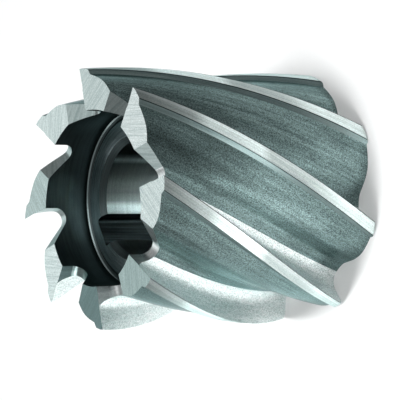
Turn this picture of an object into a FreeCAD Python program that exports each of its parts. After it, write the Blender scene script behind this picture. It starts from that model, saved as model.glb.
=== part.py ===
import FreeCAD, Part
import math
import os

os.makedirs("parts", exist_ok=True)

V = FreeCAD.Vector
UP = V(0, 0, 1)

# Shell end mill: right-hand cut, right-hand helix. It stands on its clamping face (z = 0),
# the tool axis is +Z and the end teeth are on top. Sizes in mm, angles in degrees.

# Body
TEETH = 8
CUTTER_D = 50.0
CUTTER_L = 50.0
HELIX_ANGLE = 30.0
FIRST_TIP_ANGLE = 22.5      # front corner of the first tooth, from +X; the keyway is on -X

# Tooth section, square to the axis
FLUTE_DEPTH = 6.3
RAKE_ANGLE = 7.5
RAKE_FILLET_R = 2.6         # from the rake face into the flute bottom
LAND_W = 0.95               # primary land behind the cutting edge
LAND_RELIEF = 7.0
SECOND_LAND_W = 1.6
SECOND_RELIEF = 19.0
HEEL_STEP_DEPTH = 1.0       # step from the ground lands down to the tooth back
HEEL_STEP_ANGLE = 1.6
# Tooth back as (share of the pitch behind the cutting edge, share of the flute depth)
TOOTH_BACK = ((0.285, 0.335), (0.395, 0.44), (0.50, 0.605), (0.60, 0.80), (0.69, 0.95), (0.78, 1.0))
# The round stretches of the section are drawn with flats no longer than these, which keeps the
# helical faces light. A flat lies within 0.1 mm of the curve.
FILLET_FLAT = 1.4
BACK_FLAT = 1.95

# End teeth
END_RELIEF = 5.0
END_EDGE_LEAD = 5.6         # plan angle of the end cutting edge, outer end leading
GASH_DEPTH = 4.4            # at the wall of the screw recess
GASH_SLOPE = 40.0
GASH_R = 2.0
GASH_SINK = 6.0             # the gash floor falls outwards

# Bore, keyway and recess for the arbor screw
BORE_D = 22.0
BORE_CHAMFER = 1.0
KEYWAY_W = 6.0
KEYWAY_DEPTH = 2.1          # below the bore wall, 24.1 across the bore
KEYWAY_CORNER_R = 0.6
RECESS_WALL = 1.95          # between the recess and the flute bottoms
RECESS_DEPTH = 9.5
GROOVE_W = 1.3              # turned relief groove round the recess floor
GROOVE_DEPTH = 0.5
REAR_CHAMFER = 0.8

OVER = 3.0                  # how far cutting bodies stand clear of the blank

R = CUTTER_D / 2
PITCH = 360.0 / TEETH
ROOT_R = R - FLUTE_DEPTH
RECESS_R = ROOT_R - RECESS_WALL
TWIST = math.degrees(CUTTER_L * math.tan(math.radians(HELIX_ANGLE)) / R)


def polar(radius, angle):
    a = math.radians(angle)
    return V(radius * math.cos(a), radius * math.sin(a), 0)


def heading(angle):
    return polar(1.0, angle)


def turned(points, angle):
    rotation = FreeCAD.Rotation(UP, angle)
    return [rotation.multVec(p) for p in points]


def face_of(edges):
    return Part.Face(Part.Wire(edges))


def polygon_face(points):
    return Part.Face(Part.makePolygon(points + points[:1]))


def ring_solid(outline):
    # Solid of revolution from (radius, z) points.
    return polygon_face([V(r, 0, z) for r, z in outline]).revolve(V(0, 0, 0), UP, 360)


def rake_fillet():
    # Arc of the flute bottom in front of a tooth whose cutting edge is on +X, leading to +Y.
    # It touches the straight rake flank and the root circle.
    flank = heading(180 + RAKE_ANGLE)
    start = V(R, 0, 0) + heading(90 + RAKE_ANGLE) * RAKE_FILLET_R
    reach = start.dot(flank)
    centre_r = ROOT_R + RAKE_FILLET_R
    length = -reach - math.sqrt(reach ** 2 - start.dot(start) + centre_r ** 2)
    centre = start + flank * length
    flank_end = V(R, 0, 0) + flank * length
    bottom = centre * (ROOT_R / centre.Length)
    bisector = (flank_end + bottom) * 0.5 - centre
    middle = centre + bisector * (RAKE_FILLET_R / bisector.Length)
    return Part.Arc(bottom, middle, flank_end)


def tooth_back(step_end, next_bottom):
    # Curve from the heel step down to the bottom of the flute behind the tooth.
    turns = [polar(R - depth * FLUTE_DEPTH, -share * PITCH) for share, depth in TOOTH_BACK]
    points = [step_end] + turns + [next_bottom]
    root_angle = math.degrees(math.atan2(next_bottom.y, next_bottom.x))
    curve = Part.BSplineCurve()
    curve.interpolate(
        Points=points,
        InitialTangent=(turns[0] - step_end).normalize(),
        FinalTangent=heading(root_angle - 90),
    )
    return curve


def flats(curve, longest):
    # Points along a curve, with equal flats between them.
    edge = curve.toShape()
    return edge.discretize(Number=math.ceil(edge.Length / longest) + 1)


def tooth_outline():
    # Points of one pitch, from the flute bottom in front of the tooth to the next bottom.
    fillet = flats(rake_fillet(), FILLET_FLAT)
    tip = V(R, 0, 0)
    land_end = tip + heading(-90 - LAND_RELIEF) * LAND_W
    heel = land_end + heading(-90 - SECOND_RELIEF) * SECOND_LAND_W
    heel_angle = math.degrees(math.atan2(heel.y, heel.x))
    step_end = polar(heel.Length - HEEL_STEP_DEPTH, heel_angle - HEEL_STEP_ANGLE)
    next_bottom = turned([fillet[0]], -PITCH)[0]
    back = flats(tooth_back(step_end, next_bottom), BACK_FLAT)
    return fillet + [tip, land_end, heel] + back[:-1]


def fluted_blank():
    pitch_points = tooth_outline()
    points = []
    for n in range(TEETH):
        points += turned(pitch_points, FIRST_TIP_ANGLE - TWIST - n * PITCH)
    section = Part.makePolygon(points + points[:1])
    spine = Part.Wire(Part.makeLine(V(0, 0, 0), V(0, 0, CUTTER_L)))
    lead = CUTTER_L * 360.0 / TWIST
    guide = Part.Wire(Part.makeHelix(lead, CUTTER_L, R).Edges)
    sweep = Part.BRepOffsetAPI.MakePipeShell(spine)
    sweep.setAuxiliarySpine(guide, True, 0)
    sweep.add(section)
    sweep.build()
    sweep.makeSolid()
    return sweep.shape()


def end_relief(run, side):
    # Wedge over the end face of the tooth on +X, falling away behind its cutting edge. It is
    # wider than the end land, and stops short of the next cutting edge.
    width = 0.8 * 2 * RECESS_R * math.sin(math.radians(PITCH / 2))
    corner = V(R, 0, CUTTER_L) + run * OVER
    back_edge = corner - side * width
    drop = UP * (width * math.tan(math.radians(END_RELIEF)))
    wedge = polygon_face([corner, back_edge - drop, back_edge + UP * OVER, corner + UP * OVER])
    return wedge.extrude(run * -(R - RECESS_R + 2 * OVER))


def end_gash(run, side):
    # Groove in front of the end cutting edge: upright rake side, round floor, sloping far side.
    slope = math.radians(GASH_SLOPE)
    lean = math.radians((180 + 270 + GASH_SLOPE) / 2)
    origin = V(R, 0, CUTTER_L) - run * (R - RECESS_R)

    def place(across, up):
        return origin + side * across + UP * up

    centre = (GASH_R, GASH_R - GASH_DEPTH)
    foot = (centre[0] + GASH_R * math.sin(slope), centre[1] - GASH_R * math.cos(slope))
    crest = foot[0] + (OVER - foot[1]) / math.tan(slope)
    floor = place(centre[0] + GASH_R * math.cos(lean), centre[1] + GASH_R * math.sin(lean))
    outline = [
        Part.makeLine(place(0, OVER), place(0, centre[1])),
        Part.Arc(place(0, centre[1]), floor, place(*foot)).toShape(),
        Part.makeLine(place(*foot), place(crest, OVER)),
        Part.makeLine(place(crest, OVER), place(0, OVER)),
    ]
    sink = math.radians(GASH_SINK)
    fall = run * math.cos(sink) - UP * math.sin(sink)
    face = face_of(outline)
    face.translate(fall * -0.25 * R)
    return face.extrude(fall * 0.75 * R)


def end_tooth_cutters():
    run = heading(END_EDGE_LEAD)
    side = heading(90 + END_EDGE_LEAD)
    cutters = []
    for n in range(TEETH):
        for cutter in (end_relief(run, side), end_gash(run, side)):
            cutter.rotate(V(0, 0, 0), UP, FIRST_TIP_ANGLE + n * PITCH)
            cutters.append(cutter)
    return cutters


def bore_and_recess():
    floor = CUTTER_L - RECESS_DEPTH
    bore = BORE_D / 2
    mouth = bore + BORE_CHAMFER
    return ring_solid([
        (0, -OVER),
        (mouth + OVER, -OVER),
        (bore, BORE_CHAMFER),
        (bore, floor - BORE_CHAMFER),
        (mouth, floor),
        (RECESS_R - GROOVE_W, floor),
        (RECESS_R - GROOVE_W + GROOVE_DEPTH, floor - GROOVE_DEPTH),
        (RECESS_R - GROOVE_DEPTH, floor - GROOVE_DEPTH),
        (RECESS_R, floor),
        (RECESS_R, CUTTER_L + OVER),
        (0, CUTTER_L + OVER),
    ])


def keyway():
    half = KEYWAY_W / 2
    floor = -(BORE_D / 2 + KEYWAY_DEPTH)
    r = KEYWAY_CORNER_R
    k = r * (1 - math.sqrt(0.5))
    z = -OVER
    outline = [
        Part.makeLine(V(0, -half, z), V(floor + r, -half, z)),
        Part.Arc(V(floor + r, -half, z), V(floor + k, -half + k, z), V(floor, -half + r, z)).toShape(),
        Part.makeLine(V(floor, -half + r, z), V(floor, half - r, z)),
        Part.Arc(V(floor, half - r, z), V(floor + k, half - k, z), V(floor + r, half, z)).toShape(),
        Part.makeLine(V(floor + r, half, z), V(0, half, z)),
        Part.makeLine(V(0, half, z), V(0, -half, z)),
    ]
    return face_of(outline).extrude(UP * CUTTER_L)


def rear_corner_ring():
    return ring_solid([
        (R - REAR_CHAMFER - OVER, -OVER),
        (R + OVER, -OVER),
        (R + OVER, REAR_CHAMFER + OVER),
    ])


mill = fluted_blank()
for cutter in [bore_and_recess(), keyway(), rear_corner_ring()] + end_tooth_cutters():
    mill = mill.cut(cutter)
mill = mill.Solids[0]
mill.exportStep("parts/shell_end_mill.step")
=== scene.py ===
import bpy
import math
from mathutils import Matrix, Vector


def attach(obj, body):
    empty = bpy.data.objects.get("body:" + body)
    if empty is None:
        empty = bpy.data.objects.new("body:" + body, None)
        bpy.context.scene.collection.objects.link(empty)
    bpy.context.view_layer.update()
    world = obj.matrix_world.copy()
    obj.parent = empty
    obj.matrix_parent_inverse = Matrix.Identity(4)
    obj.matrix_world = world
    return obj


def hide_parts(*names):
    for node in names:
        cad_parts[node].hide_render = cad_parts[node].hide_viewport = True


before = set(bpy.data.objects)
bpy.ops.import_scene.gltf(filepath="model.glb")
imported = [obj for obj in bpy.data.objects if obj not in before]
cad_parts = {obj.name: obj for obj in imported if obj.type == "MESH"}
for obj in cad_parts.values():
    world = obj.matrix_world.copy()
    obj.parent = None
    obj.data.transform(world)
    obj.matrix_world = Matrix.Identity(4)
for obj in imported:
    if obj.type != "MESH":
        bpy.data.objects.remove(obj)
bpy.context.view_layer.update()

# Fluted body. The cutter is a single piece of high speed steel. Its helical flutes are milled
# and the steel is hardened and steam tempered, which leaves a dark blue-grey oxide. The rake
# sides and the lands behind the cutting edges are then ground bright.
MM = 0.001
TEETH = 8
CUTTER_R = 25.0 * MM
CUTTER_L = 50.0 * MM
HELIX = math.radians(30)
FIRST_TIP = math.radians(22.5)       # front corner of the first tooth, from +X
PITCH = math.tau / TEETH
TWIST = CUTTER_L * math.tan(HELIX) / CUTTER_R
FLUTE_DEPTH = 6.3 * MM
ROOT_R = CUTTER_R - FLUTE_DEPTH
RAKE = math.radians(7.5)
RAKE_FILLET = 2.6 * MM
LAND_W = 0.95 * MM
LAND_RELIEF = math.radians(7)
SECOND_LAND_W = 1.6 * MM
SECOND_RELIEF = math.radians(19)
EDGE_LINE_W = 0.15 * MM
HEEL_STEP = 1.0 * MM
HEEL_STEP_ANGLE = math.radians(1.6)
HEEL_SHADE = 0.16                    # share of the heel step that is left in its own shade
# Tooth back as (share of the pitch behind the cutting edge, share of the flute depth)
TOOTH_BACK = (
    (0.285, 0.335), (0.395, 0.44), (0.50, 0.605), (0.60, 0.80), (0.69, 0.95), (0.78, 1.0),
)
FILLET_STEPS = 14                    # flats of the mesh round the fillet
BACK_STEPS = 5                       # and between two turns of the tooth back
# Finishes of the body's faces
(TEMPERED, RAKE_FACE, EDGE_LINE, FIRST_LAND, SECOND_LAND, HEEL, HEEL_STEP_FACE,
 REAR_FACE) = range(8)


def polar(radius, angle):
    return Vector((radius * math.cos(angle), radius * math.sin(angle), 0))


def tooth_section():
    # One pitch, from the flute bottom in front of the tooth on +X to the next flute bottom.
    # Each point goes with the finish of the face that starts at it.
    tip = Vector((CUTTER_R, 0, 0))
    flank = polar(1, math.pi + RAKE)
    start = tip + polar(RAKE_FILLET, math.pi / 2 + RAKE)
    reach = start.dot(flank)
    down = -reach - math.sqrt(reach ** 2 - start.length_squared + (ROOT_R + RAKE_FILLET) ** 2)
    centre = start + flank * down
    bottom = centre * (ROOT_R / centre.length)
    turn = (bottom - centre).xy.angle_signed((tip + flank * down - centre).xy)
    points = []
    for i in range(FILLET_STEPS + 1):
        spoke = Matrix.Rotation(-turn * i / FILLET_STEPS, 3, "Z") @ (bottom - centre)
        points.append((centre + spoke, RAKE_FACE))
    land_end = tip + polar(LAND_W, -math.pi / 2 - LAND_RELIEF)
    heel = land_end + polar(SECOND_LAND_W, -math.pi / 2 - SECOND_RELIEF)
    heel_angle = math.atan2(heel.y, heel.x)
    step_end = polar(heel.length - HEEL_STEP, heel_angle - HEEL_STEP_ANGLE)
    points.append((tip, EDGE_LINE))
    points.append((tip.lerp(land_end, EDGE_LINE_W / LAND_W), FIRST_LAND))
    points.append((land_end, SECOND_LAND))
    points.append((heel, HEEL))
    points.append((heel.lerp(step_end, HEEL_SHADE), HEEL_STEP_FACE))
    next_bottom = Matrix.Rotation(-PITCH, 3, "Z") @ bottom
    turns = [step_end]
    for share, depth in TOOTH_BACK:
        turns.append(polar(CUTTER_R - depth * FLUTE_DEPTH, -share * PITCH))
    turns.append(next_bottom)
    # Past the flute bottom the back is mirrored, so that it meets the bottom square to its radius.
    mirror = 2 * math.atan2(next_bottom.y, next_bottom.x)
    run_in = turns[0] * 2 - turns[1]
    run_out = Matrix.Rotation(mirror, 3, "Z") @ Vector((turns[-2].x, -turns[-2].y, 0))
    line = [run_in] + turns + [run_out]
    for a, b, c, d in zip(line, line[1:], line[2:], line[3:]):
        # Smooth curve from b to c. The points before and after them, a and d, set its bends.
        square = 2 * a - 5 * b + 4 * c - d
        cube = 3 * b - a - 3 * c + d
        for i in range(BACK_STEPS):
            t = i / BACK_STEPS
            bend = (c - a) * t + square * t ** 2 + cube * t ** 3
            points.append((b + 0.5 * bend, TEMPERED))
    return points


def mesh_object(name, points, faces, finish):
    # The attribute "finish" says how each face, or the face that starts at each point, looks.
    mesh = bpy.data.meshes.new(name)
    mesh.from_pydata([tuple(p) for p in points], [], faces)
    zone = mesh.attributes.new("finish", "INT", "FACE" if faces else "POINT")
    for i, value in enumerate(finish):
        zone.data[i].value = value
    made = bpy.data.objects.new(name, mesh)
    bpy.context.scene.collection.objects.link(made)
    return made


def srgb(code):
    # Hex colour to linear values.
    parts = [int(code[i:i + 2], 16) / 255 for i in (1, 3, 5)]
    return [c / 12.92 if c <= 0.04045 else ((c + 0.055) / 1.055) ** 2.4 for c in parts] + [1]


def add_node(tree, kind, inputs=None, stops=(), **settings):
    # An input is a constant, a socket, or a node, of which it takes the first output. The stops
    # are those of a colour ramp, as (position, colour).
    made = tree.nodes.new(kind)
    for name, value in settings.items():
        setattr(made, name, value)
    for key, value in (inputs or {}).items():
        if isinstance(value, bpy.types.Node):
            value = value.outputs[0]
        if isinstance(value, bpy.types.NodeSocket):
            tree.links.new(value, made.inputs[key])
        else:
            made.inputs[key].default_value = value
    for i in range(2, len(stops)):
        made.color_ramp.elements.new(0.5)
    for i, (position, colour) in enumerate(stops):
        made.color_ramp.elements[i].position = position
        made.color_ramp.elements[i].color = colour
    return made


# Patterns on the steel. Specks and tool lines are drawn several times coarser than real ones,
# so that they show. The clouds are as large as real ones.
SPECK = 0.22 * MM
CLOUD = (4, 4, 11)                   # in mm, long up the flute


def bare_steel(name, dark, light, roughness, follow, spacing, turn=0.0, depth=0.0, grain=0.12):
    # Bare steel with the lines of its last tool. The spacing of the lines is in mm along the
    # axes of the attribute that they follow, or of the object. On turned faces they are rings.
    # Their depth is in mm too, and the grain is a share of the colour. The cool edge tint keeps
    # steel that is seen at a flat angle from looking brown.
    material = bpy.data.materials.new(name)
    material.use_nodes = True
    nodes = material.node_tree
    shader = nodes.nodes["Principled BSDF"]
    shader.inputs["Metallic"].default_value = 1.0
    shader.inputs["Roughness"].default_value = roughness
    shader.inputs["Specular Tint"].default_value = srgb("#dff2f2")
    place = add_node(nodes, "ShaderNodeTexCoord").outputs["Object"]
    where = place
    if follow == "rings":
        across = add_node(nodes, "ShaderNodeVectorMath", {
            0: place, 1: (1, 1, 0),
        }, operation="MULTIPLY")
        radius = add_node(nodes, "ShaderNodeVectorMath", {0: across}, operation="LENGTH")
        outward = add_node(nodes, "ShaderNodeCombineXYZ", {"Z": radius.outputs["Value"]})
        where = add_node(nodes, "ShaderNodeVectorMath", {0: place, 1: outward})
    elif follow:
        where = add_node(nodes, "ShaderNodeAttribute", attribute_name=follow).outputs["Vector"]
    laid = add_node(nodes, "ShaderNodeVectorRotate", {
        "Vector": where, "Angle": turn,
    }, rotation_type="Z_AXIS")
    per_line = add_node(nodes, "ShaderNodeVectorMath", {
        0: laid, 1: [1 / (s * MM) for s in spacing],
    }, operation="MULTIPLY")
    lines = add_node(nodes, "ShaderNodeTexNoise", {
        "Vector": per_line, "Scale": 1.0, "Detail": 4.0, "Roughness": 0.6,
    }).outputs["Fac"]
    share = add_node(nodes, "ShaderNodeMapRange", {
        "Value": lines, "From Min": 0.3, "From Max": 0.7,
    })
    colour = add_node(nodes, "ShaderNodeMix", {
        "Factor": share, "A": srgb(dark), "B": srgb(light),
    }, data_type="RGBA").outputs["Result"]
    specks = add_node(nodes, "ShaderNodeTexNoise", {
        "Vector": place, "Scale": 1 / SPECK, "Detail": 1.0, "Roughness": 0.6,
    }).outputs["Fac"]
    specks = add_node(nodes, "ShaderNodeMapRange", {
        "Value": specks, "From Min": 0.3, "From Max": 0.7,
        "To Min": 1 - grain, "To Max": 1 + grain,
    })
    tone = add_node(nodes, "ShaderNodeVectorMath", {0: colour, 1: specks}, operation="MULTIPLY")
    nodes.links.new(tone.outputs[0], shader.inputs["Base Color"])
    if depth:
        bump = add_node(nodes, "ShaderNodeBump", {
            "Height": lines, "Strength": 1.0, "Distance": depth * MM,
        })
        nodes.links.new(bump.outputs[0], shader.inputs["Normal"])
    return material, tone, place, where


def painted_light_along_the_axis(material, tone, place, levels):
    # Painted light and shade from the rear face to the front, with (height in mm, level) for each
    # turn.
    nodes = material.node_tree
    height = add_node(nodes, "ShaderNodeSeparateXYZ", {0: place}).outputs["Z"]
    share = add_node(nodes, "ShaderNodeMath", {0: height, 1: CUTTER_L}, operation="DIVIDE")
    ramp = add_node(nodes, "ShaderNodeValToRGB", {"Fac": share}, stops=[
        (h * MM / CUTTER_L, (level, level, level, 1)) for h, level in levels
    ])
    tone = add_node(nodes, "ShaderNodeVectorMath", {0: tone, 1: ramp}, operation="MULTIPLY")
    nodes.links.new(tone.outputs[0], nodes.nodes["Principled BSDF"].inputs["Base Color"])
    return tone


def clouded(material, tone, where, amount):
    # Uneven oxide and uneven grinding pressure, in clouds drawn out along the flute.
    nodes = material.node_tree
    spread = add_node(nodes, "ShaderNodeVectorMath", {
        0: where, 1: [1 / (s * MM) for s in CLOUD],
    }, operation="MULTIPLY")
    cloud = add_node(nodes, "ShaderNodeTexNoise", {
        "Vector": spread, "Scale": 1.0, "Detail": 3.0,
    }).outputs["Fac"]
    cloud = add_node(nodes, "ShaderNodeMapRange", {
        "Value": cloud, "From Min": 0.35, "From Max": 0.65,
        "To Min": 1 - amount, "To Max": 1 + amount,
    })
    tone = add_node(nodes, "ShaderNodeVectorMath", {0: tone, 1: cloud}, operation="MULTIPLY")
    nodes.links.new(tone.outputs[0], nodes.nodes["Principled BSDF"].inputs["Base Color"])


finishes = {}

# Steam tempered steel: dark and half matt, with soft streaks from the milling along the flute.
# Its colour is also painted along the axis: lighter at the rear face, a faint painted highlight at
# mid-length, and painted shade, darker towards the front.
PAINTED_FLUTE_LIGHT = ((0, 1.0), (5, 0.8), (20, 0.8), (27, 0.86), (36, 0.55), (50, 0.5))
tempered, tone, place, where = bare_steel(
    "steam_tempered_steel", "#617574", "#839998", 0.24, "untwisted", (0.6, 0.6, 14),
    depth=0.006, grain=0.6)
tone = painted_light_along_the_axis(tempered, tone, place, PAINTED_FLUTE_LIGHT)
clouded(tempered, tone, where, 0.2)
finishes[TEMPERED] = tempered

# Ground steel of the rake faces: nearly white and half matt. The wheel sweeps down the flute and
# leaves it rougher than a land, so it takes light from all round and looks grainy.
finishes[RAKE_FACE] = bare_steel(
    "ground_rake_face", "#d3dedc", "#f4faf9", 0.50, "untwisted", (0.5, 0.5, 3),
    depth=0.012, grain=0.4)[0]

# Ground and honed steel of the lands: the brightest faces, with fine lines along the cutting
# edge. They are honed by hand. Along the axis their colour is painted lighter and darker: a
# painted highlight from 27 to 37 mm, and painted shade towards the front.
PAINTED_LAND_LIGHT = ((2, 1.0), (9, 0.85), (16, 0.55), (25, 0.6), (27, 1.0), (37, 1.0), (40, 0.5),
         (44, 0.34), (49, 0.24))
for zone, name, dark, light in (
    (FIRST_LAND, "ground_first_land", "#d3e0de", "#f6ffff"),
    (SECOND_LAND, "ground_second_land", "#c3d2d0", "#e9f4f2"),
):
    land, tone, place, where = bare_steel(
        name, dark, light, 0.26, "untwisted", (0.3, 0.3, 18), depth=0.005, grain=0.15)
    tone = painted_light_along_the_axis(land, tone, place, PAINTED_LAND_LIGHT)
    clouded(land, tone, where, 0.12)
    finishes[zone] = land

# A hair of dark metal along the cutting edge itself, which outlines each land: painted shade.
finishes[EDGE_LINE] = bare_steel(
    "cutting_edge_painted_shade", "#1f2727", "#364040", 0.4, None, (1, 1, 1))[0]

# Milled steel of the heel: its first corner is painted nearly black, as painted shade, and the
# step below it is a paler, half matt stripe, as a painted highlight.
finishes[HEEL] = bare_steel(
    "heel_painted_shade", "#263031", "#3f4c4d", 0.45, "untwisted", (0.9, 0.9, 14))[0]
finishes[HEEL_STEP_FACE] = bare_steel(
    "heel_step_painted_light", "#66797a", "#8b9c9a", 0.42, "untwisted", (0.5, 0.5, 14))[0]

# Surface ground steel of the rear face: bright and plain, with straight lines from one side to
# the other.
finishes[REAR_FACE] = bare_steel(
    "ground_rear_face", "#b4c0bf", "#d5dedd", 0.25, None, (0.4, 9, 9), depth=0.004)[0]

section = tooth_section()
cutter = mesh_object("shell_end_mill_body", [p for p, f in section], [], [f for p, f in section])

# End teeth. On the front end each tooth is ground back behind its cutting edge, and a gash is
# cut in front of it, so that the end cuts as well. Both are the path of a grinding wheel,
# drawn here for a tooth on +X, and repeated round the axis further down.
OVER = 3.0 * MM                      # how far the cutting bodies stand clear of the blank
END_RELIEF = math.radians(5)
RELIEF_SHARE = 0.8                   # width of the relief, as a share of the pitch at the recess
END_EDGE_LEAD = math.radians(5.6)    # plan angle of the end cutting edge
GASH_DEPTH = 4.4 * MM
GASH_SLOPE = math.radians(40)
GASH_R = 2.0 * MM
GASH_SINK = math.radians(6)
GASH_STEPS = 16
GASH_START = 0.25                    # the wheel's path starts this far inside the recess wall,
GASH_RUN = 0.75                      # and is this long, both as shares of the cutter's radius
GASH_REACH = math.radians(8)         # a gash starts less than this in front of its own edge
RECESS_WALL = 1.95 * MM              # between the recess and the flute bottoms
RECESS_R = ROOT_R - RECESS_WALL
RUN = polar(1, END_EDGE_LEAD)
SIDE = polar(1, math.pi / 2 + END_EDGE_LEAD)
UP = Vector((0, 0, 1))
END_LAND, GASH, GASH_WALL = 8, 9, 10


def prism(name, outline, along, finish):
    # Closed solid: the outline, swept by the vector along. One finish for each side.
    n = len(outline)
    points = list(outline) + [p + along for p in outline]
    faces = [[i, (i + 1) % n, n + (i + 1) % n, n + i] for i in range(n)]
    faces += [list(range(n - 1, -1, -1)), list(range(n, 2 * n))]
    normal = sum((outline[i].cross(outline[(i + 1) % n]) for i in range(n)), Vector())
    if normal.dot(along) < 0:
        faces = [face[::-1] for face in faces]
    return mesh_object(name, points, faces, finish + finish[:2])


def end_relief():
    # Wedge over the end of the tooth, falling away behind its cutting edge.
    width = RELIEF_SHARE * 2 * RECESS_R * math.sin(PITCH / 2)
    corner = Vector((CUTTER_R, 0, CUTTER_L)) + RUN * OVER
    back = corner - SIDE * width
    drop = UP * (width * math.tan(END_RELIEF))
    outline = [corner, back - drop, back + UP * OVER, corner + UP * OVER]
    return prism("end_relief", outline, RUN * -(CUTTER_R - RECESS_R + 2 * OVER), [END_LAND] * 4)


def end_gash():
    # Upright side, which is the rake face of the end tooth, round floor and sloping far side.
    origin = Vector((CUTTER_R, 0, CUTTER_L)) - RUN * (CUTTER_R - RECESS_R)
    outline = [(0, OVER)]
    for i in range(GASH_STEPS + 1):
        angle = math.pi + (math.pi / 2 + GASH_SLOPE) * i / GASH_STEPS
        across = GASH_R + GASH_R * math.cos(angle)
        up = GASH_R - GASH_DEPTH + GASH_R * math.sin(angle)
        outline.append((across, up))
    outline.append((across + (OVER - up) / math.tan(GASH_SLOPE), OVER))
    fall = RUN * math.cos(GASH_SINK) - UP * math.sin(GASH_SINK)
    face = [origin + SIDE * a + UP * b - fall * GASH_START * CUTTER_R for a, b in outline]
    finish = [GASH_WALL] + [GASH] * (len(face) - 1)
    return prism("end_gash", face, fall * GASH_RUN * CUTTER_R, finish)


relief_tool = end_relief()
gash_tool = end_gash()

# Ground end lands and gashes: straight lines of a coarse wheel, which lie across the tooth.
# Each tooth is ground on its own, and each has its own painted level of light and shade.
LINES_TURN = math.radians(-35.5)     # the lines lie 54.5 degrees behind the tooth's radius
# One painted level of light and shade for each tooth, counterclockwise from the first when seen
# from the front, and the colour that each level stands for.
PAINTED_TOOTH_LIGHT = {
    END_LAND: (0.88, 0.80, 0.84, 0.73, 0.87, 0.44, 0.67, 0.85),
    GASH: (0.78, 0.80, 0.76, 0.82, 0.66, 1.0, 1.0, 1.0),
    GASH_WALL: (0.85, 0.85, 0.85, 0.9, 0.4, 0.92, 0.86, 0.85),
}
TONE_COLOURS = ((0.0, "#000000"), (0.36, "#4c5f60"), (0.64, "#94a7a5"), (0.85, "#cfdad9"),
                (1.0, "#fbffff"))
for zone, name, dark, roughness, spacing in (
    (END_LAND, "ground_end_land", "#d4d9d9", 0.25, (0.35, 8, 8)),
    (GASH, "ground_gash", "#ccd4d4", 0.32, (0.45, 9, 9)),
    (GASH_WALL, "ground_gash_wall", "#d4d9d9", 0.45, (0.45, 9, 9)),
):
    wheel_ground, tone = bare_steel(
        name, dark, "#ffffff", roughness, "on_tooth", spacing, turn=LINES_TURN, depth=0.006)[:2]
    nodes = wheel_ground.node_tree
    # The attribute tone holds the tooth's painted light and shade.
    own = add_node(nodes, "ShaderNodeAttribute", attribute_name="tone").outputs["Fac"]
    ramp = add_node(nodes, "ShaderNodeValToRGB", {"Fac": own}, stops=[
        (position, srgb(code)) for position, code in TONE_COLOURS
    ])
    tone = add_node(nodes, "ShaderNodeVectorMath", {0: tone, 1: ramp}, operation="MULTIPLY")
    nodes.links.new(tone.outputs[0], nodes.nodes["Principled BSDF"].inputs["Base Color"])
    finishes[zone] = wheel_ground

# Bore, keyway and recess. The bore is honed to fit the arbor and the keyway is broached in its
# wall. The recess for the screw's head is turned, with a ground seat and a groove round it.
BORE_R = 11.0 * MM
BORE_CHAMFER = 1.0 * MM
KEYWAY_W = 6.0 * MM
KEYWAY_DEPTH = 2.1 * MM
KEYWAY_CORNER = 0.6 * MM
CORNER_STEPS = 10
RECESS_DEPTH = 9.5 * MM
# The seat rim and the groove rim below are painted highlights.
PAINTED_HIGHLIGHT_SEAT_RIM = 0.12 * MM                # bright rim between the bore's chamfer and the seat
GROOVE_W = 1.3 * MM                  # groove round the seat
GROOVE_DEPTH = 0.5 * MM
PAINTED_HIGHLIGHT_GROOVE_RIM = 0.2 * MM                # bright rim between the groove and the wall
REAR_CHAMFER = 0.8 * MM
ROUND_STEPS = 192                    # flats of the mesh round the axis
BORE, RECESS, SEAT, KEYWAY, TURNED_EDGE = range(11, 16)


def turned(name, profile, finish, ring=False):
    # Closed solid of revolution from (radius, z) points, with a finish for each stretch.
    points = [Matrix.Rotation(math.tau * i / ROUND_STEPS, 3, "Z") @ Vector((r, 0, z))
              for i in range(ROUND_STEPS) for r, z in profile]
    n = len(profile)
    faces = []
    zones = []
    for i in range(ROUND_STEPS):
        a = i * n
        b = (i + 1) % ROUND_STEPS * n
        for k in range(n if ring else n - 1):
            up = (k + 1) % n
            faces.append([a + k, b + k, b + up, a + up])
            zones.append(finish[k])
    if not ring:
        faces.append([i * n for i in range(ROUND_STEPS - 1, -1, -1)])
        faces.append([i * n + n - 1 for i in range(ROUND_STEPS)])
        zones += [finish[0], finish[-1]]
    return mesh_object(name, points, faces, zones)


def bore_and_recess():
    # Each stretch as (radius, height, finish), from the rear face to the front.
    floor = CUTTER_L - RECESS_DEPTH
    mouth = BORE_R + BORE_CHAMFER
    stretches = (
        (mouth + OVER, -OVER, TURNED_EDGE),
        (BORE_R, BORE_CHAMFER, BORE),
        (BORE_R, floor - BORE_CHAMFER, RECESS),
        (mouth, floor, TURNED_EDGE),
        (mouth + PAINTED_HIGHLIGHT_SEAT_RIM, floor, SEAT),
        (RECESS_R - GROOVE_W, floor, RECESS),
        (RECESS_R - GROOVE_W + GROOVE_DEPTH, floor - GROOVE_DEPTH, RECESS),
        (RECESS_R - GROOVE_DEPTH, floor - GROOVE_DEPTH, RECESS),
        (RECESS_R - PAINTED_HIGHLIGHT_GROOVE_RIM, floor - PAINTED_HIGHLIGHT_GROOVE_RIM, TURNED_EDGE),
        (RECESS_R, floor, RECESS),
        (RECESS_R, CUTTER_L + OVER, RECESS),
    )
    return turned("bore_and_recess", [s[:2] for s in stretches], [s[2] for s in stretches])


def keyway():
    # Square slot with round corners in its floor. Each corner makes a quarter turn from its
    # first angle, which is given in half turns.
    half = KEYWAY_W / 2
    floor = -(BORE_R + KEYWAY_DEPTH)
    outline = [Vector((0, -half, -OVER))]
    for side, first in ((-1, 1.5), (1, 1.0)):
        centre = Vector((floor + KEYWAY_CORNER, side * (half - KEYWAY_CORNER), -OVER))
        for i in range(CORNER_STEPS + 1):
            angle = math.pi * (first - 0.5 * i / CORNER_STEPS)
            outline.append(centre + polar(KEYWAY_CORNER, angle))
    outline.append(Vector((0, half, -OVER)))
    return prism("keyway", outline, UP * CUTTER_L, [KEYWAY] * len(outline))


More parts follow.
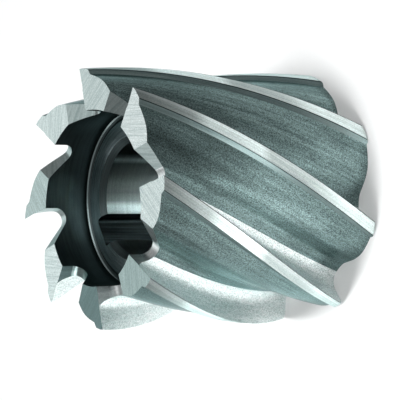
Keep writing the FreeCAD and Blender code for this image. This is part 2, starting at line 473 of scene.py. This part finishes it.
def rear_corner():
    # Ring that takes the corner off the rear rim.
    inner = CUTTER_R - REAR_CHAMFER - OVER
    outer = CUTTER_R + OVER
    profile = [(inner, -OVER), (outer, -OVER), (outer, REAR_CHAMFER + OVER)]
    return turned("rear_corner", profile, [TURNED_EDGE] * 3, ring=True)


bore_tool = bore_and_recess()
keyway_tool = keyway()
corner_tool = rear_corner()


def round_the_wall(nodes, place):
    # Angle from the keyway, in turns: 0 on -X and growing towards +Y.
    at = add_node(nodes, "ShaderNodeSeparateXYZ", {0: place}).outputs
    toward = add_node(nodes, "ShaderNodeMath", {0: at["X"], 1: -1.0}, operation="MULTIPLY")
    angle = add_node(nodes, "ShaderNodeMath", {0: at["Y"], 1: toward}, operation="ARCTAN2")
    return add_node(nodes, "ShaderNodeMath", {0: angle, 1: math.tau}, operation="DIVIDE")


# Honed steel: fine rings. Round the wall its colour is painted: a painted highlight in a bright
# strip on the keyway's +Y side, and painted shade, nearly black, on the wall either side of it.
PAINTED_BORE_LIGHT = (                       # degrees from the keyway, and share of the light
    (-180, 0.5), (-120, 0.5), (-100, 0.2), (-16, 0.2), (15, 0.5), (19, 1.0), (24, 1.0),
    (29, 0.28), (38, 0.16), (48, 0.23), (58, 0.15), (70, 0.12), (75, 0.7), (79, 0.24),
    (84, 0.05), (105, 0.06), (125, 0.5), (180, 0.5),
)
honed, tone, place = bare_steel(
    "honed_bore", "#d3e0df", "#f0fafa", 0.30, "rings", (9, 9, 0.4), depth=0.003)[:3]
nodes = honed.node_tree
turns = round_the_wall(nodes, place)
from_start = add_node(nodes, "ShaderNodeMath", {0: turns, 1: 0.5}, operation="ADD")
ramp = add_node(nodes, "ShaderNodeValToRGB", {"Fac": from_start}, stops=[
    (degrees / 360 + 0.5, (level, level, level, 1)) for degrees, level in PAINTED_BORE_LIGHT
])
tone = add_node(nodes, "ShaderNodeVectorMath", {0: tone, 1: ramp}, operation="MULTIPLY")
nodes.links.new(tone.outputs[0], nodes.nodes["Principled BSDF"].inputs["Base Color"])
finishes[BORE] = honed

# Turned steel of the recess: fine rings, dark grey, partly oxide and partly painted shade of the
# deep recess, with a painted sheen: a soft grey patch on the key's side.
PAINTED_SHEEN_AT = (6.6 * MM, 43.2 * MM, 0)          # along the wall from the keyway, and height
PAINTED_SHEEN_REACH = (8.5 * MM, 3.0 * MM)
PAINTED_SHEEN_GAIN = 3.2                            # how much brighter the middle of the patch is
recess, tone, place = bare_steel(
    "turned_recess", "#4a5455", "#586566", 0.36, "rings", (9, 9, 0.5),
    depth=0.002, grain=0.06)[:3]
nodes = recess.node_tree
turns = round_the_wall(nodes, place)
height = add_node(nodes, "ShaderNodeSeparateXYZ", {0: place}).outputs["Z"]
along = add_node(nodes, "ShaderNodeMath", {
    0: turns, 1: math.tau * RECESS_R,
}, operation="MULTIPLY")
on_wall = add_node(nodes, "ShaderNodeCombineXYZ", {"X": along, "Y": height})
off = add_node(nodes, "ShaderNodeVectorMath", {0: on_wall, 1: PAINTED_SHEEN_AT}, operation="SUBTRACT")
off = add_node(nodes, "ShaderNodeVectorMath", {
    0: off, 1: (1 / PAINTED_SHEEN_REACH[0], 1 / PAINTED_SHEEN_REACH[1], 0),
}, operation="MULTIPLY")
off = add_node(nodes, "ShaderNodeVectorMath", {0: off}, operation="LENGTH").outputs["Value"]
painted_sheen = add_node(nodes, "ShaderNodeMapRange", {
    "Value": off, "From Min": 0.0, "From Max": 1.0, "To Min": PAINTED_SHEEN_GAIN, "To Max": 1.0,
}, interpolation_type="SMOOTHSTEP")
tone = add_node(nodes, "ShaderNodeVectorMath", {0: tone, 1: painted_sheen}, operation="MULTIPLY")
nodes.links.new(tone.outputs[0], nodes.nodes["Principled BSDF"].inputs["Base Color"])
finishes[RECESS] = recess

# Ground steel of the seat: brighter than the wall round it, with rings to be seen.
finishes[SEAT] = bare_steel(
    "ground_seat", "#9fb5b8", "#e6f5f8", 0.3, "rings", (5, 5, 0.35), depth=0.004)[0]

# Broached steel of the keyway: dark and matt, scored along the bore by the broach's teeth.
finishes[KEYWAY] = bare_steel(
    "broached_keyway", "#151a1b", "#4c5759", 0.5, None, (0.4, 0.4, 12), depth=0.01)[0]

# Turned steel of the chamfers and rims: narrow bright rings. On the thin rims round the seat
# and the groove, the bright ring is a painted highlight.
finishes[TURNED_EDGE] = bare_steel(
    "turned_edge_and_painted_highlight", "#94a8a8", "#bccccc", 0.25, "rings", (9, 9, 0.5))[0]

# The whole cutter, made of one bar of high speed steel. Its section is repeated round the axis
# and wound up it, and the bore, the keyway and each tooth's relief and gash are then cut out of
# that blank, in the order of the real work.
RINGS = 110                          # steps of the mesh up the helix
SHARP_EDGE = math.radians(10.5)      # faces that meet at more than this show an edge
WELD = 0.001 * MM                    # points closer than this are one
tree = bpy.data.node_groups.new("helical_cutter", "GeometryNodeTree")
tree.interface.new_socket("Section", in_out="INPUT", socket_type="NodeSocketGeometry")
SOCKETS = (
    ("Teeth", "NodeSocketInt", TEETH),
    ("Length", "NodeSocketFloat", CUTTER_L),
    ("Twist", "NodeSocketFloat", TWIST),
    ("First Tip", "NodeSocketFloat", FIRST_TIP),
    ("Rings", "NodeSocketInt", RINGS),
    ("Sharp Edge", "NodeSocketFloat", SHARP_EDGE),
    ("Bore", "NodeSocketObject", bore_tool),
    ("Keyway", "NodeSocketObject", keyway_tool),
    ("Rear Corner", "NodeSocketObject", corner_tool),
    ("End Relief", "NodeSocketObject", relief_tool),
    ("End Gash", "NodeSocketObject", gash_tool),
)
for name, kind, value in SOCKETS:
    tree.interface.new_socket(name, in_out="INPUT", socket_type=kind)
tree.interface.new_socket("Cutter", in_out="OUTPUT", socket_type="NodeSocketGeometry")
given = add_node(tree, "NodeGroupInput").outputs

# Ring of section points: one copy of the section for each tooth, clockwise.
pitch = add_node(tree, "ShaderNodeMath", {0: math.tau, 1: given["Teeth"]}, operation="DIVIDE")
index = add_node(tree, "GeometryNodeInputIndex")
position = add_node(tree, "GeometryNodeInputPosition")
copies = add_node(tree, "GeometryNodeMeshLine", {"Count": given["Teeth"], "Offset": (0, 0, 0)})
back_by = add_node(tree, "ShaderNodeMath", {0: index, 1: pitch}, operation="MULTIPLY")
clockwise = add_node(tree, "FunctionNodeAxisAngleToRotation", {"Axis": -UP, "Angle": back_by})
ring = add_node(tree, "GeometryNodeInstanceOnPoints", {
    "Points": copies, "Instance": given["Section"], "Rotation": clockwise,
})
ring = add_node(tree, "GeometryNodeRealizeInstances", {0: ring})
count = add_node(tree, "GeometryNodeAttributeDomainSize", {0: ring})

# Wall: a grid with a column for each section point and a row for each ring up the axis.
columns = add_node(tree, "ShaderNodeMath", {0: count, 1: 1.0}, operation="ADD")
rows = add_node(tree, "ShaderNodeMath", {0: given["Rings"], 1: 1.0}, operation="ADD")
wall = add_node(tree, "GeometryNodeMeshGrid", {
    "Size X": count, "Size Y": given["Rings"], "Vertices X": columns, "Vertices Y": rows,
})
on_grid = add_node(tree, "ShaderNodeSeparateXYZ", {0: position}).outputs
column = add_node(tree, "ShaderNodeMath", {
    0: count, 1: 0.5, 2: on_grid["X"],
}, operation="MULTIPLY_ADD")
row = add_node(tree, "ShaderNodeMath", {
    0: given["Rings"], 1: 0.5, 2: on_grid["Y"],
}, operation="MULTIPLY_ADD")
point = add_node(tree, "ShaderNodeMath", {0: column}, operation="ROUND")
point = add_node(tree, "ShaderNodeMath", {0: point, 1: count}, operation="MODULO")
section_point = add_node(tree, "GeometryNodeSampleIndex", {
    "Geometry": ring, "Value": position, "Index": point,
}, data_type="FLOAT_VECTOR")
finish = add_node(tree, "GeometryNodeInputNamedAttribute", {"Name": "finish"}, data_type="INT")
face_start = add_node(tree, "ShaderNodeMath", {0: column}, operation="FLOOR")
section_finish = add_node(tree, "GeometryNodeSampleIndex", {
    "Geometry": ring, "Value": finish, "Index": face_start,
}, data_type="INT")
wall = add_node(tree, "GeometryNodeStoreNamedAttribute", {
    "Geometry": wall, "Name": "finish", "Value": section_finish,
}, data_type="INT", domain="FACE")
share = add_node(tree, "ShaderNodeMath", {0: row, 1: given["Rings"]}, operation="DIVIDE")
rear_angle = add_node(tree, "ShaderNodeMath", {
    0: given["First Tip"], 1: given["Twist"],
}, operation="SUBTRACT")
angle = add_node(tree, "ShaderNodeMath", {
    0: share, 1: given["Twist"], 2: rear_angle,
}, operation="MULTIPLY_ADD")
wind = add_node(tree, "FunctionNodeAxisAngleToRotation", {"Axis": UP, "Angle": angle})
wound = add_node(tree, "FunctionNodeRotateVector", {"Vector": section_point, "Rotation": wind})
height = add_node(tree, "ShaderNodeMath", {0: share, 1: given["Length"]}, operation="MULTIPLY")
lift = add_node(tree, "ShaderNodeCombineXYZ", {"Z": height})
placed = add_node(tree, "ShaderNodeVectorMath", {0: wound, 1: lift})
wall = add_node(tree, "GeometryNodeSetPosition", {"Geometry": wall, "Position": placed})
wall = add_node(tree, "GeometryNodeFlipFaces", {0: wall})

# End faces from the same ring of points.
loop = add_node(tree, "GeometryNodeMeshToPoints", {"Mesh": ring})
loop = add_node(tree, "GeometryNodePointsToCurves", {0: loop})
loop = add_node(tree, "GeometryNodeCurveSplineType", {"Curve": loop}, spline_type="POLY")
loop = add_node(tree, "GeometryNodeSetSplineCyclic", {"Geometry": loop, "Cyclic": True})
end = add_node(tree, "GeometryNodeFillCurve", {"Curve": loop}, mode="NGONS")
end = add_node(tree, "GeometryNodeStoreNamedAttribute", {
    "Geometry": end, "Name": "finish", "Value": REAR_FACE,
}, data_type="INT", domain="FACE")
to_rear = add_node(tree, "FunctionNodeAxisAngleToRotation", {"Axis": UP, "Angle": rear_angle})
rear = add_node(tree, "GeometryNodeTransform", {"Geometry": end, "Rotation": to_rear})
rear = add_node(tree, "GeometryNodeFlipFaces", {0: rear})
to_front = add_node(tree, "FunctionNodeAxisAngleToRotation", {
    "Axis": UP, "Angle": given["First Tip"],
})
front_height = add_node(tree, "ShaderNodeCombineXYZ", {"Z": given["Length"]})
front = add_node(tree, "GeometryNodeTransform", {
    "Geometry": end, "Translation": front_height, "Rotation": to_front,
})
blank = add_node(tree, "GeometryNodeJoinGeometry")
for part in (wall, rear, front):
    tree.links.new(part.outputs[0], blank.inputs[0])
body = add_node(tree, "GeometryNodeMergeByDistance", {"Geometry": blank, "Distance": WELD})

# The bore with its recess, the keyway and the rear corner are taken out of the blank.
for name in ("Bore", "Keyway", "Rear Corner"):
    tool = add_node(tree, "GeometryNodeObjectInfo", {"Object": given[name]}).outputs["Geometry"]
    body = add_node(tree, "GeometryNodeMeshBoolean", {
        "Mesh 1": body, "Mesh 2": tool,
    }, operation="DIFFERENCE", solver="MANIFOLD")

# Tooth by tooth: the relief behind the end cutting edge, then the gash in front of it.
enter = add_node(tree, "GeometryNodeRepeatInput")
leave = add_node(tree, "GeometryNodeRepeatOutput")
enter.pair_with_output(leave)
tree.links.new(given["Teeth"], enter.inputs["Iterations"])
tree.links.new(body.outputs[0], enter.inputs["Geometry"])
tooth_angle = add_node(tree, "ShaderNodeMath", {
    0: enter.outputs["Iteration"], 1: pitch, 2: given["First Tip"],
}, operation="MULTIPLY_ADD")
to_tooth = add_node(tree, "FunctionNodeAxisAngleToRotation", {"Axis": UP, "Angle": tooth_angle})
body = enter.outputs["Geometry"]
for name in ("End Relief", "End Gash"):
    tool = add_node(tree, "GeometryNodeObjectInfo", {"Object": given[name]}).outputs["Geometry"]
    tool = add_node(tree, "GeometryNodeTransform", {"Geometry": tool, "Rotation": to_tooth})
    body = add_node(tree, "GeometryNodeMeshBoolean", {
        "Mesh 1": body, "Mesh 2": tool,
    }, operation="DIFFERENCE", solver="MANIFOLD")
tree.links.new(body.outputs[0], leave.inputs["Geometry"])
body = leave.outputs["Geometry"]

# The flutes, the bore and the gash floors are round. The end lands are flat, and so they keep
# the shading of their own faces.
rounded = add_node(tree, "FunctionNodeCompare", {
    2: finish, 3: END_LAND,
}, data_type="INT", operation="NOT_EQUAL")
body = add_node(tree, "GeometryNodeSetShadeSmooth", {
    "Geometry": body, "Shade Smooth": rounded,
}, domain="FACE")
bend = add_node(tree, "GeometryNodeInputMeshEdgeAngle")
sharp = add_node(tree, "FunctionNodeCompare", {
    0: bend, 1: given["Sharp Edge"],
}, data_type="FLOAT", operation="GREATER_THAN")
body = add_node(tree, "GeometryNodeSetShadeSmooth", {
    "Geometry": body, "Selection": sharp, "Shade Smooth": False,
}, domain="EDGE")

# Lines along the flute need each point's place on the untwisted body.
place = add_node(tree, "ShaderNodeSeparateXYZ", {0: position}).outputs
share = add_node(tree, "ShaderNodeMath", {0: place["Z"], 1: given["Length"]}, operation="DIVIDE")
wind = add_node(tree, "ShaderNodeMath", {0: share, 1: given["Twist"]}, operation="MULTIPLY")
unwind = add_node(tree, "FunctionNodeAxisAngleToRotation", {"Axis": -UP, "Angle": wind})
untwisted = add_node(tree, "FunctionNodeRotateVector", {"Vector": position, "Rotation": unwind})
body = add_node(tree, "GeometryNodeStoreNamedAttribute", {
    "Geometry": body, "Name": "untwisted", "Value": untwisted,
}, data_type="FLOAT_VECTOR", domain="POINT")

# The wheel's lines lie the same way on each end tooth, so each face keeps its place on the tooth
# that points along +X, and its tooth's painted light and shade. The first tooth is number 0.
around = add_node(tree, "ShaderNodeMath", {0: place["Y"], 1: place["X"]}, operation="ARCTAN2")
behind = add_node(tree, "ShaderNodeMath", {
    0: around, 1: given["First Tip"],
}, operation="SUBTRACT")
behind = add_node(tree, "ShaderNodeMath", {0: behind, 1: GASH_REACH}, operation="SUBTRACT")
number = add_node(tree, "ShaderNodeMath", {0: behind, 1: pitch}, operation="DIVIDE")
number = add_node(tree, "ShaderNodeMath", {0: number}, operation="CEIL")
number = add_node(tree, "GeometryNodeFieldOnDomain", {
    0: number,
}, data_type="FLOAT", domain="FACE")
tip_angle = add_node(tree, "ShaderNodeMath", {
    0: number, 1: pitch, 2: given["First Tip"],
}, operation="MULTIPLY_ADD")
to_first = add_node(tree, "FunctionNodeAxisAngleToRotation", {"Axis": -UP, "Angle": tip_angle})
on_tooth = add_node(tree, "FunctionNodeRotateVector", {"Vector": position, "Rotation": to_first})
body = add_node(tree, "GeometryNodeStoreNamedAttribute", {
    "Geometry": body, "Name": "on_tooth", "Value": on_tooth,
}, data_type="FLOAT_VECTOR", domain="CORNER")
number = add_node(tree, "ShaderNodeMath", {0: number, 1: given["Teeth"]}, operation="ADD")
number = add_node(tree, "ShaderNodeMath", {0: number, 1: given["Teeth"]}, operation="MODULO")
tone = 1.0
for zone, tones in PAINTED_TOOTH_LIGHT.items():
    by_tooth = add_node(tree, "GeometryNodeIndexSwitch", {"Index": number}, data_type="FLOAT")
    while len(by_tooth.index_switch_items) < TEETH:
        by_tooth.index_switch_items.new()
    for i, level in enumerate(tones):
        by_tooth.inputs[i + 1].default_value = level
    same = add_node(tree, "FunctionNodeCompare", {
        2: finish, 3: zone,
    }, data_type="INT", operation="EQUAL")
    tone = add_node(tree, "ShaderNodeMix", {0: same, 2: tone, 3: by_tooth}, data_type="FLOAT")
body = add_node(tree, "GeometryNodeStoreNamedAttribute", {
    "Geometry": body, "Name": "tone", "Value": tone,
}, data_type="FLOAT", domain="FACE")

# Each finish has its own material.
body = add_node(tree, "GeometryNodeRealizeInstances", {0: body})
for zone, material in finishes.items():
    same = add_node(tree, "FunctionNodeCompare", {
        2: finish, 3: zone,
    }, data_type="INT", operation="EQUAL")
    body = add_node(tree, "GeometryNodeSetMaterial", {
        "Geometry": body, "Selection": same, "Material": material,
    })
add_node(tree, "NodeGroupOutput", {0: body})

builder = cutter.modifiers.new("helical_cutter", "NODES")
builder.node_group = tree
for name, kind, value in SOCKETS:
    identifier = next(s.identifier for s in tree.interface.items_tree if s.name == name)
    builder[identifier] = value
depsgraph = bpy.context.evaluated_depsgraph_get()
mesh = bpy.data.meshes.new_from_object(cutter.evaluated_get(depsgraph))
cutter.modifiers.clear()
cutter.data = mesh
# The blank and its tools came without a material, which leaves an empty slot.
while None in list(mesh.materials):
    mesh.materials.pop(index=list(mesh.materials).index(None))
for tool in (bore_tool, keyway_tool, corner_tool, relief_tool, gash_tool):
    bpy.data.objects.remove(tool)
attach(cutter, "root")
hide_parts("shell_end_mill")

# Floor: plain white paper. It gives off a little light to the eye and to the steel, so that it
# looks white and keeps a soft shadow.
FLOOR_HALF = 3.0
FLOOR_GLOW = 0.2
floor_mesh = bpy.data.meshes.new("floor")
corners = [(x * FLOOR_HALF, y * FLOOR_HALF, 0) for x, y in ((-1, -1), (1, -1), (1, 1), (-1, 1))]
floor_mesh.from_pydata(corners, [], [(0, 1, 2, 3)])
floor = bpy.data.objects.new("floor", floor_mesh)
bpy.context.scene.collection.objects.link(floor)
paper = bpy.data.materials.new("white_paper")
paper.use_nodes = True
nodes = paper.node_tree
shader = nodes.nodes["Principled BSDF"]
shader.inputs["Base Color"].default_value = srgb("#e0e1e1")
shader.inputs["Roughness"].default_value = 0.9
shader.inputs["Specular IOR Level"].default_value = 0.0
shader.inputs["Emission Color"].default_value = srgb("#ffffff")
ray = add_node(nodes, "ShaderNodeLightPath").outputs
seen = add_node(nodes, "ShaderNodeMath", {
    0: ray["Is Camera Ray"], 1: ray["Is Glossy Ray"],
}, operation="ADD")
seen = add_node(nodes, "ShaderNodeMath", {
    0: seen, 1: ray["Is Transmission Ray"],
}, operation="ADD")
glow = add_node(nodes, "ShaderNodeMath", {0: seen, 1: FLOOR_GLOW}, operation="MULTIPLY")
nodes.links.new(glow.outputs[0], shader.inputs["Emission Strength"])
floor_mesh.materials.append(paper)

# Studio light: a dim grey room, with softboxes where the end faces, gashes and flutes mirror
# them, and pools of light on the floor. In the picture light comes through the bore from the
# rear. The cutter stands on that end here, so a narrow light down the bore takes its place.
world = bpy.data.worlds.new("studio")
bpy.context.scene.world = world
world.use_nodes = True
room = world.node_tree.nodes["Background"]
room.inputs["Color"].default_value = srgb("#868686")
room.inputs["Strength"].default_value = 1.0


def softbox(name, azimuth, elevation, distance, size, level):
    # Square lamp, turned to the middle of the cutter. Steel that mirrors it at level 1 looks
    # as bright as if it mirrored white paper.
    data = bpy.data.lights.new(name, "AREA")
    data.shape = "SQUARE"
    data.size = size
    data.energy = level * math.pi * size ** 2
    lamp = bpy.data.objects.new(name, data)
    a = math.radians(azimuth)
    e = math.radians(elevation)
    away = Vector((math.cos(e) * math.cos(a), math.cos(e) * math.sin(a), math.sin(e)))
    lamp.location = Vector((0, 0, CUTTER_L / 2)) + away * distance
    lamp.rotation_euler = away.to_track_quat("Z", "Y").to_euler()
    bpy.context.scene.collection.objects.link(lamp)


def pool(name, place, half_angle, softness, level):
    # Round patch of light on the floor, as bright as white paper at level 1. The steel mirrors
    # the patch and not the lamp, which hangs out of its sight.
    data = bpy.data.lights.new(name, "SPOT")
    data.spot_size = 2 * math.radians(half_angle)
    data.spot_blend = 1.0
    data.shadow_soft_size = softness
    data.energy = level * 4 * math.pi ** 2 * place[2] ** 2
    lamp = bpy.data.objects.new(name, data)
    lamp.location = place
    lamp.visible_glossy = False
    bpy.context.scene.collection.objects.link(lamp)


softbox("end_light", azimuth=147, elevation=30, distance=0.5, size=0.42, level=0.97)
softbox("gash_light", azimuth=203, elevation=26, distance=0.5, size=0.26, level=0.8)
softbox("side_light", azimuth=269, elevation=5, distance=0.42, size=0.17, level=7.0)
softbox("top_light", azimuth=18, elevation=61, distance=0.5, size=0.3, level=0.9)
pool("back_pool", (-0.085, 0.053, 0.6), half_angle=15, softness=0.14, level=1.1)
pool("front_pool", (0.032, -0.106, 0.4), half_angle=16.5, softness=0.12, level=3.2)
pool("bore_light", (0, 0, 0.6), half_angle=0.95, softness=0.002, level=15.0)

# Camera at the photograph's viewing angle. The cutter lies on its side there and stands on its
# rear end here, so the picture is turned on its side.
VIEW_AZIMUTH = math.radians(-32.04)
VIEW_ELEVATION = math.radians(35.04)
VIEW_DISTANCE = 0.4076
VIEW_TARGET = Vector((-0.11, -0.35, 24.87)) * MM
camera_data = bpy.data.cameras.new("camera")
camera_data.sensor_width = 36
camera_data.lens = 187.2
camera = bpy.data.objects.new("camera", camera_data)
away = Vector((
    math.cos(VIEW_ELEVATION) * math.cos(VIEW_AZIMUTH),
    math.cos(VIEW_ELEVATION) * math.sin(VIEW_AZIMUTH),
    math.sin(VIEW_ELEVATION),
))
level = Vector((-math.sin(VIEW_AZIMUTH), math.cos(VIEW_AZIMUTH), 0))
right = -away.cross(level)
upward = away.cross(right)
turned_over = Matrix((right, upward, away)).transposed().to_4x4()
camera.matrix_world = Matrix.Translation(VIEW_TARGET + away * VIEW_DISTANCE) @ turned_over
bpy.context.scene.collection.objects.link(camera)
bpy.context.scene.camera = camera

bpy.context.scene.view_settings.view_transform = "Standard"
